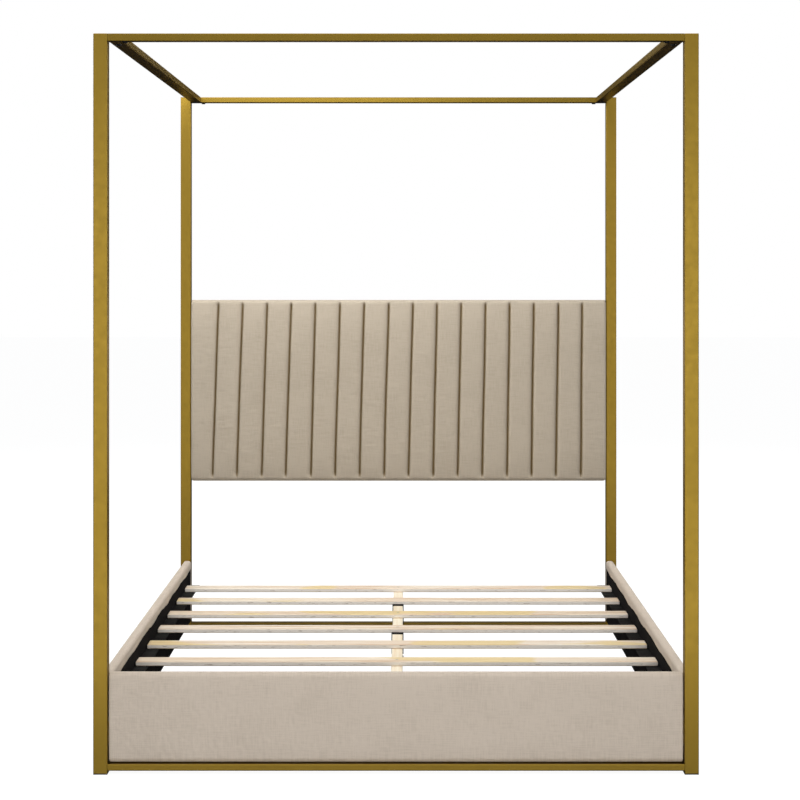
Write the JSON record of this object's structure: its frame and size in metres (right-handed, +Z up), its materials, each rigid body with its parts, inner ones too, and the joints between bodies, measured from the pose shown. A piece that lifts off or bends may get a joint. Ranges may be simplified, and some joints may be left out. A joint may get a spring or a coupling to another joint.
{
  "type": "four poster canopy bed",
  "caption": "Queen size four poster canopy bed: box-section metal frame, channel-tufted upholstered headboard, padded footboard and side rails, slatted base.",
  "frame": {"origin": "on the floor under the middle of the bed, at the centre of the bounding box's bottom face", "axes": "+Z up; -Y towards the foot end, +Y towards the headboard; +X to the right of someone who looks at the foot end"},
  "size_m": [1.618, 2.15, 1.98],
  "materials": {
    "gold_metal": "satin gold lacquer",
    "black_steel": "black powder coat",
    "black_bolt": "black oxide",
    "screw_steel": "dark zinc",
    "black_plastic": "moulded, fine texture",
    "lined_board": "board lined with black cloth",
    "black_cloth": "spunbond lining",
    "beige_linen": "linen weave over foam",
    "slat_plywood": "sanded plywood, unlacquered",
    "pine": "planed pine"
  },
  "bodies": {
    "bed_frame": {"canopy_rail_bolt_front_left": "black_bolt", "canopy_rail_bolt_front_right": "black_bolt", "canopy_rail_bolt_rear_left": "black_bolt", "canopy_rail_bolt_rear_right": "black_bolt", "canopy_rail_left": "gold_metal", "canopy_rail_right": "gold_metal", "centre_beam": "pine", "centre_beam_hanger": "black_steel", "centre_leg_1": "black_steel", "centre_leg_2": "black_steel", "footboard_bolt_left": "black_bolt", "footboard_bolt_right": "black_bolt", "footboard_pad": "beige_linen", "footboard_panel": "lined_board", "front_bottom_rail": "gold_metal", "front_top_beam": "gold_metal", "headboard_back_cloth": "black_cloth", "headboard_bolt_lower_left": "black_bolt", "headboard_bolt_lower_right": "black_bolt", "headboard_bolt_upper_left": "black_bolt", "headboard_bolt_upper_right": "black_bolt", "headboard_pad": "beige_linen", "headboard_panel": "lined_board", "post_foot_front_left": "black_plastic", "post_foot_front_right": "black_plastic", "post_foot_rear_left": "black_plastic", "post_foot_rear_right": "black_plastic", "post_front_left": "gold_metal", "post_front_right": "gold_metal", "post_rear_left": "gold_metal", "post_rear_right": "gold_metal", "rear_bottom_rail": "gold_metal", "rear_top_beam": "gold_metal", "side_rail_board_left": "lined_board", "side_rail_board_right": "lined_board", "side_rail_bolt_front_left": "black_bolt", "side_rail_bolt_front_right": "black_bolt", "side_rail_bolt_rear_left": "black_bolt", "side_rail_bolt_rear_right": "black_bolt", "side_rail_pad_left": "beige_linen", "side_rail_pad_right": "beige_linen", "slat_1": "slat_plywood", "slat_2": "slat_plywood", "slat_3": "slat_plywood", "slat_4": "slat_plywood", "slat_5": "slat_plywood", "slat_6": "slat_plywood", "slat_7": "slat_plywood", "slat_ledge_left": "black_steel", "slat_ledge_right": "black_steel", "slat_screw_2": "screw_steel", "slat_screw_4": "screw_steel", "slat_screw_5": "screw_steel", "slat_screw_7": "screw_steel", "top_beam_bolt_front_left": "black_bolt", "top_beam_bolt_front_right": "black_bolt", "top_beam_bolt_rear_left": "black_bolt", "top_beam_bolt_rear_right": "black_bolt"},
    "front_levelling_foot": {"levelling_foot_1": "black_plastic"},
    "rear_levelling_foot": {"levelling_foot_2": "black_plastic"}
  },
  "joints": [
    {"name": "front_leveller_screw", "type": "slide", "parent": "bed_frame", "child": "front_levelling_foot", "axis": [0, 0, -1], "range_m": [-0.012, 0.015]},
    {"name": "rear_leveller_screw", "type": "slide", "parent": "bed_frame", "child": "rear_levelling_foot", "axis": [0, 0, -1], "range_m": [-0.012, 0.015]}
  ]
}
